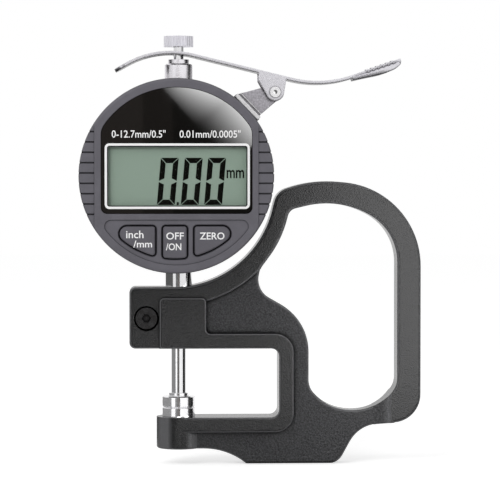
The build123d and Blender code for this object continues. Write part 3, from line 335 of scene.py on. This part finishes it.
def add_flag(name, headings, reach, heights, tone, color=WHITE, steps=6):
    """A card along the floor and up a wall, between two headings and two distances.

    Both are seen from the spindle, in degrees from the front towards the right and in metres.
    The card lies at the first height and ends at the second.
    """
    (start, stop), (near, far), (low, high) = headings, reach, heights
    points, faces = [], []
    for step in range(steps + 1):
        heading = math.radians(start + (stop - start) * step / steps)
        out_x, out_y = math.sin(heading), -math.cos(heading)
        for distance, z in ((near, low), (far, low), (far, high)):
            points.append((SPINDLE_X + distance * out_x, distance * out_y, z))
    for step in range(steps):
        a, b = 3 * step, 3 * (step + 1)
        faces += [(a, a + 1, b + 1, b), (a + 1, a + 2, b + 2, b + 1)]
    add_card(name, points, faces, card_glow(name, tone, color))


def make_flags():
    add_flag("flag_front_left", (-26.5, -14.0), (0.03, FAR), (GROUND, 0.005), 0.28)
    add_flag("flag_front_left_top", (-26.5, -14.0), (0.998, FAR), (0.006, 0.06), 0.1)
    add_flag("flag_front_middle", (-14.0, -5.0), (0.03, FAR), (GROUND, 0.06), 0.16)
    add_flag("flag_front", (-5.0, -0.6), (0.03, FAR), (GROUND, 0.2), 0.26, WARM)
    add_flag("flag_front_edge", (-0.6, 0.6), (0.03, FAR), (GROUND, 0.2), 0.12, WARM)
    add_flag("flag_front_dark", (0.6, 4.4), (0.03, FAR), (GROUND, 0.2), 0.02)
    add_flag("flag_front_right", (4.4, 7.7), (0.03, FAR), (GROUND, 0.06), 0.03)
    add_flag("flag_top", (-8.0, -5.0), (0.98, FAR), (0.06, 0.2), 0.4)
    add_flag("flag_right", (65.0, 118.5), (0.08, SIDE), (GROUND, 0.08), 0.02)
    add_flag("flag_right_top", (69.5, 150.0), (0.599, SIDE), (0.08, 0.25), 0.36)
    add_flag("flag_left", (-52.5, -160.0), (0.06, SIDE), (GROUND, 0.01), 0.3)
    add_flag("flag_left_middle", (-52.5, -160.0), (0.599, SIDE), (0.01, 0.08), 0.115)
    add_flag("flag_left_top", (-45.0, -160.0), (0.599, SIDE), (0.08, 0.25), 0.9)


def add_soft_box(name, span_x, span_z, y, tone, lit):
    """An upright box of light that only the named pieces mirror."""
    (x0, x1), (z0, z1) = span_x, span_z
    corners = [(x0, y, z0), (x1, y, z0), (x1, y, z1), (x0, y, z1)]
    add_card(name, corners, [(0, 1, 2, 3)], card_glow(name, tone, clear=True), lit)


def make_soft_boxes():
    """One before the finger ring, one that its foot mirrors, and one before the bright top."""
    add_soft_box("ring_card", (0.012, 0.09), (0.002, 0.13), -0.055, 11.0, ["frame"])
    add_soft_box("ramp_card", (-0.05, -0.015), (0.001, 0.04), -0.086, 15.0, ["frame"])
    bright_top = ["top_bush", "spindle", "stop_collar", "lift_knob", "lift_lever", "lever_pin"]
    add_soft_box("top_card", (-0.13, 0.08), (0.12, 0.23), -0.85, 0.8, bright_top)


def lens_glow(name):
    """A glow that grows away from the box's edge, and a little towards its upper end."""
    material, surface = bare_material(name)
    nodes, links = graph(material)

    def vector_calc(operation, first, second, result):
        node = nodes.new("ShaderNodeVectorMath")
        node.operation = operation
        links.new(first, node.inputs[0])
        node.inputs[1].default_value = second
        return node.outputs[result]

    place = nodes.new("ShaderNodeNewGeometry").outputs["Position"]
    offset = vector_calc("SUBTRACT", place, LENS_BOX_EDGE, "Vector")
    depth = vector_calc("DOT_PRODUCT", offset, LENS_BOX_INWARD, "Value")
    height = vector_calc("DOT_PRODUCT", offset, LENS_BOX_ALONG, "Value")
    inside = ramp(material, depth, LENS_GLOW_START, LENS_GLOW_STOP, 0.0, LENS_GLOW)
    upper = ramp(material, height, 0.0, LENS_GLOW_UP_TO, 0.0, LENS_GLOW_UPPER)
    slope = calc(material, "MULTIPLY_ADD", inside, LENS_GLOW_CURVE, upper)
    links.new(glow(material, calc(material, "MULTIPLY", inside, slope)), surface)
    return material


def make_lens_box():
    """Soft box whose edge runs slantwise over the lens."""
    corners = [
        LENS_BOX_EDGE + LENS_BOX_ALONG * along + LENS_BOX_INWARD * inward
        for along, inward in (
            (LENS_BOX_LOW, 0), (LENS_BOX_HIGH, 0),
            (LENS_BOX_HIGH, LENS_BOX_DEPTH), (LENS_BOX_LOW, LENS_BOX_DEPTH),
        )
    ]
    add_card("lens_card", corners, [(0, 1, 2, 3)], lens_glow("lens_card"), ["window_lens"])


# What the materials are made of
def skin(material):
    """Sockets of the shader that makes the surface."""
    return material.node_tree.nodes["Principled BSDF"].inputs


def new_material(name, color, roughness, metallic=0.0, **sockets):
    material = bpy.data.materials.new(name)
    material.use_nodes = True
    shader = skin(material)
    shader["Base Color"].default_value = (*color, 1)
    shader["Roughness"].default_value = roughness
    shader["Metallic"].default_value = metallic
    for socket, value in sockets.items():
        shader[socket.replace("_", " ")].default_value = value
    return material


def noise(material, scale, detail=2.0, stretch=(1, 1, 1)):
    """Noise in the object's own coordinates, with scale in cells per metre."""
    nodes, links = graph(material)
    place = nodes.new("ShaderNodeTexCoord")
    mapping = nodes.new("ShaderNodeMapping")
    mapping.inputs["Scale"].default_value = stretch
    texture = nodes.new("ShaderNodeTexNoise")
    texture.inputs["Scale"].default_value = scale
    texture.inputs["Detail"].default_value = detail
    links.new(place.outputs["Object"], mapping.inputs["Vector"])
    links.new(mapping.outputs["Vector"], texture.inputs["Vector"])
    return texture.outputs["Fac"]


def spread(material, value, low, high):
    """Maps the middle of a noise to the range low..high."""
    return ramp(material, value, NOISE_LOW, NOISE_HIGH, low, high)


def rough(material, value, low, high):
    put(material, spread(material, value, low, high), skin(material)["Roughness"])


def mix_colors(material, share, first, second):
    node = material.node_tree.nodes.new("ShaderNodeMix")
    node.data_type = "RGBA"
    for name, value in (("Factor", share), ("A", first), ("B", second)):
        put(material, value, node.inputs[name])
    return node.outputs["Result"]


def tint(material, value, dark, light):
    """Colours the surface between dark and light with a noise."""
    share = spread(material, value, 0.0, 1.0)
    color = mix_colors(material, share, (*dark, 1), (*light, 1))
    put(material, color, skin(material)["Base Color"])


def shades(color, darker, lighter):
    """A darker and a lighter shade of a colour."""
    return [darker * c for c in color], [min(1.0, lighter * c) for c in color]


def bump(material, value, strength, height):
    """Adds bumps to the surface, over those that it has."""
    nodes, links = graph(material)
    node = nodes.new("ShaderNodeBump")
    node.inputs["Strength"].default_value = strength
    node.inputs["Distance"].default_value = height
    normal = skin(material)["Normal"]
    if normal.is_linked:
        links.new(normal.links[0].from_socket, node.inputs["Normal"])
    links.new(value, node.inputs["Height"])
    links.new(node.outputs["Normal"], normal)


def rounded(material, radius):
    """The surface's direction, as if its edges had this radius."""
    node = material.node_tree.nodes.new("ShaderNodeBevel")
    node.samples = EDGE_SAMPLES
    node.inputs["Radius"].default_value = radius
    return node.outputs["Normal"]


def soften(material, radius):
    """Rounds the look of sharp edges."""
    put(material, rounded(material, radius), skin(material)["Normal"])


def multiply(material, factor):
    """Scales the base colour by a factor."""
    nodes, links = graph(material)
    color = skin(material)["Base Color"]
    scale = nodes.new("ShaderNodeVectorMath")
    scale.operation = "SCALE"
    if color.is_linked:
        links.new(color.links[0].from_socket, scale.inputs[0])
    else:
        scale.inputs[0].default_value = color.default_value[:3]
    links.new(factor, scale.inputs["Scale"])
    links.new(scale.outputs[0], color)


def crevice_shade(material, distance, dark):
    """Painted shade: darkens the colour and the gloss in narrow gaps and inner corners."""
    node = material.node_tree.nodes.new("ShaderNodeAmbientOcclusion")
    node.samples = CREVICE_SAMPLES
    node.inputs["Distance"].default_value = distance
    light = ramp(material, node.outputs["AO"], CREVICE_DARK, CREVICE_OPEN, dark, 1.0)
    multiply(material, light)
    put(material, light, skin(material)["Specular Tint"])


def own_y(material, kind):
    """Y, without its sign, of the piece's own place, "Object", or direction, "Normal"."""
    vector = material.node_tree.nodes.new("ShaderNodeTexCoord").outputs[kind]
    return calc(material, "ABSOLUTE", axis_of(material, vector, "Y"))


def facing(material, low, high):
    """0 to 1 as the surface turns from a side towards the front or back."""
    return ramp(material, own_y(material, "Normal"), low, high)


def raised(material, low, high):
    """0 on the recessed web of the casting, 1 on its raised rims."""
    return ramp(material, own_y(material, "Object"), low, high)


def edge_highlight(material, color):
    """Painted highlight: lighter colour on the rounded edges, which face neither the front nor the
    side.
    """
    turned = facing(material, 0.3, 0.6)
    slanted = facing(material, 0.96, 0.86)
    share = calc(material, "MULTIPLY", turned, slanted)
    base = skin(material)["Base Color"]
    highlighted = mix_colors(material, share, base.links[0].from_socket, (*color, 1))
    put(material, highlighted, base)


def under(material, radius, dark):
    """Painted shade: darkens the colour of the underside and of the rounded edge above it."""
    upward = axis_of(material, rounded(material, radius), "Z")
    multiply(material, ramp(material, upward, LEVEL, DOWNWARD, 1.0, dark))


# Kinds of material
def moulded(name, color, roughness=0.42, grain=0.05):
    """Moulded plastic with a fine grain."""
    material = new_material(name, color, roughness)
    soften(material, 0.15 * MM)
    bump(material, noise(material, 6000), grain, 0.05 * MM)
    rough(material, noise(material, 600), roughness - 0.05, roughness + 0.06)
    tint(material, noise(material, 250, detail=3.0), *shades(color, 0.93, 1.08))
    # Painted shade in gaps and inner corners.
    crevice_shade(material, 0.7 * MM, 0.25)
    return material


def turned_steel(name, color, roughness):
    """Steel with fine rings round a vertical axis."""
    material = new_material(name, color, roughness, metallic=1.0)
    soften(material, 0.1 * MM)
    bump(material, noise(material, 9000, stretch=(0.03, 0.03, 1)), 0.1, 0.02 * MM)
    rough(material, noise(material, 700), roughness - 0.04, roughness + 0.05)
    return material


def sheet_steel(name, color, roughness, grain, edge=0.3 * MM, fleck=0.0):
    """Plated sheet with a fine grain, slight waves and, where given, flecks in its colour."""
    material = new_material(name, color, roughness, metallic=1.0)
    if fleck:
        tint(material, noise(material, 1800, detail=3.0), *shades(color, 1 - fleck, 1 + fleck))
    soften(material, edge)
    bump(material, noise(material, 4000, detail=3.0), grain, 0.03 * MM)
    bump(material, noise(material, 250), 0.06, 0.15 * MM)
    rough(material, noise(material, 1200, detail=3.0), roughness - 0.06, roughness + 0.08)
    return material


def gloss(name, color, roughness):
    """Smooth plastic or glass with a faint haze."""
    material = new_material(name, color, roughness)
    rough(material, noise(material, 200), roughness * 0.8, roughness * 1.3)
    return material


# Materials of their own
def cast_paint():
    """Black paint, sandy on the web and finer on the rims, smooth on the side walls, with painted
    light on the side walls and rounded edges and painted shade in the gaps.
    """
    material = new_material("cast_paint", (0.02, 0.02, 0.022), 0.42, Specular_IOR_Level=0.135)
    soften(material, 0.3 * MM)
    rim = raised(material, 4.1 * MM, 4.9 * MM)
    front = facing(material, 0.25, 0.6)
    sand = noise(material, 1500, detail=4.0)
    fine = noise(material, 2600)
    grain = between(material, rim, sand, fine)
    bump(material, between(material, front, 0.5, grain), 0.9, 0.2 * MM)
    bump(material, noise(material, 300), 0.2, 0.3 * MM)
    web_rough = spread(material, sand, 0.5, 0.66)
    rim_rough = spread(material, fine, 0.3, 0.4)
    wall_rough = spread(material, fine, 0.16, 0.24)
    front_rough = between(material, rim, web_rough, rim_rough)
    put(material, between(material, front, wall_rough, front_rough), skin(material)["Roughness"])
    specks = between(material, rim, noise(material, 2300), fine)
    tint(material, specks, (0.0004, 0.0004, 0.0005), (0.033, 0.033, 0.035))
    multiply(material, between(material, rim, 1.0, 0.2))
    # Painted highlight on the rounded edges of the frame.
    edge_highlight(material, (0.095, 0.095, 0.099))
    # Painted light: the side walls, which face neither the front nor the back, are painted 1.6
    # times lighter.
    multiply(material, between(material, front, 1.6, 1.0))
    # Painted shade in gaps and inner corners.
    crevice_shade(material, 1.4 * MM, 0.02)
    return material


def lever_chrome():
    material = sheet_steel("lever_chrome", (0.72, 0.71, 0.75), 0.28, 0.12, fleck=0.04)
    # Painted shade on the underside, and in gaps and inner corners.
    under(material, 0.8 * MM, 0.1)
    crevice_shade(material, 0.8 * MM, 0.1)
    return material


def pin_chrome():
    material = sheet_steel("pin_chrome", (0.9, 0.895, 0.91), 0.25, 0.1, edge=0.15 * MM)
    # Painted shade in the bore of the hollow pin and in gaps.
    crevice_shade(material, 2.5 * MM, 0.02)
    return material


def bracket_steel():
    material = sheet_steel("bracket_steel", (0.46, 0.445, 0.48), 0.42, 0.6, fleck=0.3)
    # Painted shade on the underside, and in gaps and inner corners.
    under(material, 0.4 * MM, 0.15)
    crevice_shade(material, 1.2 * MM, 0.1)
    return material


def strip_highlight_steel():
    # Painted highlight: the folded bars are painted about twice as light as the bracket's sheet
    # they are folded from.
    material = sheet_steel("strip_highlight_steel", (0.92, 0.915, 0.93), 0.3, 0.2, edge=0.1 * MM)
    # Painted shade in gaps and inner corners.
    crevice_shade(material, 0.5 * MM, 0.2)
    return material


def black_screw():
    material = turned_steel("black_screw", (0.085, 0.085, 0.088), 0.25)
    # Painted shade in the hex socket and round the head.
    crevice_shade(material, 1.5 * MM, 0.1)
    return material


def case_plastic():
    """The case's plastic, with painted shade on its rim and in the walls of its grooves."""
    material = moulded("case_plastic", (0.108, 0.104, 0.121))
    # Painted shade: faces turned away from the front and back are painted down to 0.3 of the
    # colour.
    multiply(material, between(material, facing(material, 0.2, 0.8), 0.3, 1.0))
    return material


def display_glass():
    """Grey-green liquid crystal, shaded by the window's edge at the left and the top."""
    material = gloss("lcd_glass", (0.335, 0.44, 0.36), 0.45)
    left = WINDOW_X - WINDOW_W / 2
    top = WINDOW_Z + WINDOW_H / 2
    place = material.node_tree.nodes.new("ShaderNodeTexCoord").outputs["Object"]
    for axis, start, stop in (
        ("X", left + SHADE_START, left + SHADE_STOP),
        ("Z", top - SHADE_START, top - SHADE_STOP),
    ):
        multiply(material, ramp(material, axis_of(material, place, axis), start, stop, SHADE, 1.0))
    return material


def ink(name, color, low, high, **sockets):
    """Print whose roughness runs from low to high."""
    material = new_material(name, color, low, **sockets)
    rough(material, noise(material, 2000), low, high)
    return material


def dress_nodes():
    steel = turned_steel("ground_steel", (0.74, 0.74, 0.75), 0.08)
    satin = turned_steel("satin_steel", (0.84, 0.82, 0.86), 0.28)
    lapped = turned_steel("lapped_steel", (0.87, 0.865, 0.88), 0.16)
    screw = turned_steel("screw_steel", (0.42, 0.42, 0.44), 0.3)
    cover = moulded("cover_plastic", (0.075, 0.072, 0.085), 0.5, 0.12)
    key = moulded("key_plastic", (0.098, 0.094, 0.110), 0.4)
    inner = moulded("inner_plastic", (0.03, 0.03, 0.03))
    rubber = moulded("mat_rubber", (0.06, 0.06, 0.065), 0.7)
    board = gloss("board_green", (0.02, 0.13, 0.06), 0.3)
    looks = {
        "frame": cast_paint(),
        "clamp_screw": black_screw(),
        "anvil": lapped,
        "contact_tip": lapped,
        "stem": steel,
        "top_bush": satin,
        "spindle": steel,
        "stop_collar": satin,
        "guide_rod": steel,
        "stem_bush": turned_steel("bronze", (0.55, 0.38, 0.2), 0.3),
        "lift_knob": turned_steel("knob_chrome", (0.80, 0.79, 0.84), 0.34),
        "lift_lever": lever_chrome(),
        "lever_pin": pin_chrome(),
        "lever_bracket": bracket_steel(),
        "bracket_screw": screw,
        "rear_cover_screws": screw,
        "board_screws": screw,
        "carrier_screw": screw,
        "battery_contacts": screw,
        "return_spring": screw,
        "scale_carrier": sheet_steel("carrier_metal", (0.7, 0.7, 0.72), 0.35, 0.2),
        "battery_cell": sheet_steel("cell_steel", (0.7, 0.7, 0.7), 0.25, 0.1),
        "front_case": case_plastic(),
        "rear_cover": cover,
        "battery_cap": cover,
        "button_unit": key,
        "button_power": key,
        "button_zero": key,
        "window_lens": gloss("lens_black", (0.006, 0.0055, 0.005), 0.02),
        "window_glass": new_material("window_clear", (0.01, 0.012, 0.01), 0.03, Alpha=0.08),
        "lcd_panel": display_glass(),
        "lcd_frame": inner,
        "board_chips": inner,
        "contact_strips": rubber,
        "key_mat": rubber,
        "main_board": board,
        "scale_strip": board,
    }
    for node, material in looks.items():
        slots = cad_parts[node].data.materials
        slots.clear()
        slots.append(material)


# Printed marks
def to_mesh(name, curve, y, material, body):
    """Turns a curve drawn in X and Y into a piece that stands in the plane Y = y."""
    drawing = bpy.data.objects.new(name + "_curve", curve)
    bpy.context.scene.collection.objects.link(drawing)
    bpy.context.view_layer.update()
    state = bpy.context.evaluated_depsgraph_get()
    mesh = bpy.data.meshes.new_from_object(drawing.evaluated_get(state))
    for vertex in mesh.vertices:
        x, z, out = vertex.co
        vertex.co = (x, y - out, z)
    mesh.materials.clear()
    mesh.materials.append(material)
    bpy.data.objects.remove(drawing)
    piece = bpy.data.objects.new(name, mesh)
    bpy.context.scene.collection.objects.link(piece)
    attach(piece, body)
    return piece


def print_shape(name, outlines, face_y, material, body):
    """A thin print on the face at face_y, from outlines of (x, z) with holes last."""
    curve = bpy.data.curves.new(name, "CURVE")
    curve.dimensions = "2D"
    curve.fill_mode = "BOTH"
    curve.extrude = PRINT_T / 2
    for outline in outlines:
        spline = curve.splines.new("POLY")
        spline.points.add(len(outline) - 1)
        spline.use_cyclic_u = True
        for point, (x, z) in zip(spline.points, outline):
            point.co = (x, z, 0, 1)
    to_mesh(name, curve, face_y - PRINT_T / 2, material, body)


def print_text(name, text, left, base, height, width, bold, face_y, material, body):
    """Text by its left end and base line from the middle of the case, and its outer size."""
    curve = bpy.data.curves.new(name, "FONT")
    curve.body = text
    curve.size = height / CAP_SHARE
    curve.offset = bold
    curve.extrude = TEXT_HALF_T
    curve.resolution_u = 3
    vertices = to_mesh(name, curve, face_y - PRINT_T / 2, material, body).data.vertices
    xs = [vertex.co.x for vertex in vertices]
    zs = [vertex.co.z for vertex in vertices]
    low_x, low_z = min(xs), min(zs)
    scale_x = width / (max(xs) - low_x)
    scale_z = height / (max(zs) - low_z)
    for vertex in vertices:
        vertex.co.x = CASE_X + left + (vertex.co.x - low_x) * scale_x
        vertex.co.z = DIAL_Z + base + (vertex.co.z - low_z) * scale_z


def rounded_rectangle(centre_x, centre_z, width, height, radius, steps=8):
    points = []
    for corner in range(4):
        side_x = 1 if corner in (0, 3) else -1
        side_z = 1 if corner in (0, 1) else -1
        for step in range(steps + 1):
            angle = math.radians(90 * (corner + step / steps))
            points.append((
                centre_x + side_x * (width / 2 - radius) + radius * math.cos(angle),
                centre_z + side_z * (height / 2 - radius) + radius * math.sin(angle),
            ))
    return points


def make_border(material):
    outer = rounded_rectangle(
        WINDOW_X, WINDOW_Z, WINDOW_W + 2 * BORDER, WINDOW_H + 2 * BORDER, WINDOW_CORNER + BORDER,
    )
    inner = rounded_rectangle(WINDOW_X, WINDOW_Z, WINDOW_W, WINDOW_H, WINDOW_CORNER)
    print_shape("window_border", [outer, inner], LENS_Y, material, "root")


def zero_bars():
    """Outlines of the six bars of a nought, from its lower left corner."""
    w, h, t, g = DIGIT_W, DIGIT_H, BAR, BAR_GAP
    m = h / 2
    bottom = [(g, 0), (w - g, 0), (w - t - g, t), (t + g, t)]
    top = [(x, h - z) for x, z in bottom]
    lower = [(0, g), (t, t + g), (t, m - t / 2 - g), (0, m - g)]
    upper = [(x, h - z) for x, z in lower]
    bars = [bottom, top, lower, upper]
    bars += [[(w - x, z) for x, z in bar] for bar in (lower, upper)]
    return bars


def make_digits(material):
    """Three slanted noughts and the decimal point."""
    point = [(0, 0), (POINT_W, 0), (POINT_W, POINT_H), (0, POINT_H)]
    drawn = [(left, DIGIT_BASE, bar) for left in DIGIT_LEFTS for bar in zero_bars()]
    drawn.append((POINT_LEFT, POINT_BASE, point))
    outlines = [
        [(CASE_X + left + x + SLANT * z, DIAL_Z + base + z) for x, z in outline]
        for left, base, outline in drawn
    ]
    print_shape("display_digits", outlines, LCD_Y, material, "root")


def make_lettering(white, black):
    """Range, step, unit and names of the keys.

    In millimetres from the middle of the case: left end, base line, height, width, and what
    is added round the strokes.
    """
    for name, text, left, base, height, width, bold, face_y, material, body in (
        ("range_text", "0-12.7mm/0.5\"", -19.3, 11.35, 2.3, 16.05, 0.03, LENS_Y, white, "root"),
        ("step_text", "0.01mm/0.0005\"", 0.9, 11.35, 2.3, 18.2, 0.03, LENS_Y, white, "root"),
        ("unit_text", "mm", 15.0, -0.7, 2.5, 5.25, 0.06, LCD_Y, black, "root"),
        ("label_inch", "inch", -15.05, -18.6, 2.3, 5.2, 0.04, KEY_Y, white, "key_unit"),
        ("label_mm", "/mm", -12.9, -21.35, 2.1, 5.6, 0.04, KEY_Y, white, "key_unit"),
        ("label_off", "OFF", -3.1, -19.0, 2.15, 5.25, 0.04, KEY_Y, white, "key_power"),
        ("label_on", "/ON", -3.2, -22.2, 2.1, 4.6, 0.04, KEY_Y, white, "key_power"),
        ("label_zero", "ZERO", 6.9, -19.0, 2.15, 7.4, 0.04, KEY_Y, white, "key_zero"),
    ):
        sizes = [MM * size for size in (left, base, height, width, bold)]
        print_text(name, text, *sizes, face_y, material, body)


# Thin metal
def make_spring(material):
    """The return spring, drawn as a stiff coil that rides with the spindle train. The real one
    shortens as the spindle goes up under its fixed upper end.
    """
    low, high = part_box("return_spring")
    bottom, length = low[2], high[2] - low[2]
    count = TURNS * TURN_STEPS
    points, faces = [], []
    for step in range(count + 1):
        turn = 2 * math.pi * step / TURN_STEPS
        lift = bottom + WIRE_R + (length - 2 * WIRE_R) * step / count
        for side in range(WIRE_SIDES):
            angle = 2 * math.pi * side / WIRE_SIDES
            reach = COIL_R + WIRE_R * math.cos(angle)
            x, y = SPINDLE_X + reach * math.cos(turn), reach * math.sin(turn)
            points.append((x, y, lift + WIRE_R * math.sin(angle)))
    for first in range(0, count * WIRE_SIDES, WIRE_SIDES):
        for side in range(WIRE_SIDES):
            a, b = first + side, first + (side + 1) % WIRE_SIDES
            faces.append((a, b, b + WIRE_SIDES, a + WIRE_SIDES))
    start = range(WIRE_SIDES)
    end = range(count * WIRE_SIDES, (count + 1) * WIRE_SIDES)
    faces += [tuple(reversed(start)), tuple(end)]
    spring = add_mesh("spring_coil", points, faces, material)
    for polygon in spring.data.polygons:
        polygon.use_smooth = True
    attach(spring, "spindle_train")
    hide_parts("return_spring")
    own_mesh(spring)


def make_bracket_strip(material):
    """Folded edge and ridge of the sheet over the foot of the lever bracket."""
    sheet_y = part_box("lever_bracket")[0][1]
    out = Vector((math.cos(BRACKET_ANGLE), 0, math.sin(BRACKET_ANGLE)))
    along = Vector((math.sin(BRACKET_ANGLE), 0, -math.cos(BRACKET_ANGLE)))
    centre = Vector((CASE_X, 0, DIAL_Z))
    points, faces = [], []
    for near, far, half_length, proud in STRIP_BARS:
        first = len(points)
        for inset, y in (
            (0, sheet_y + STRIP_SUNK),
            (0, sheet_y - proud + STRIP_CHAMFER),
            (STRIP_CHAMFER, sheet_y - proud),
        ):
            low, high = near + inset, far - inset
            for end, reach in ((-1, low), (1, low), (1, high), (-1, high)):
                place = centre + along * end * (half_length - inset) + out * reach
                points.append((place.x, y, place.z))
        for ring in (first, first + 4):
            for i in range(4):
                j = (i + 1) % 4
                faces.append((ring + i, ring + j, ring + 4 + j, ring + 4 + i))
        top, bottom = (8, 9, 10, 11), (3, 2, 1, 0)
        faces += [tuple(first + i for i in face) for face in (top, bottom)]
    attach(add_mesh("bracket_strip", points, faces, material), "root")


make_camera()
make_world()
make_floor()
make_lights()
make_flags()
make_soft_boxes()
make_lens_box()
dress_nodes()
print_white = ink("print_white", (0.88, 0.88, 0.88), 0.35, 0.5)
print_black = ink("print_black", (0.003, 0.003, 0.002), 0.3, 0.45, Specular_IOR_Level=0.05)
make_border(print_white)
make_digits(print_black)
make_lettering(print_white, print_black)
make_bracket_strip(strip_highlight_steel())
make_spring(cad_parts["return_spring"].data.materials[0])

bpy.context.scene.view_settings.view_transform = "Standard"
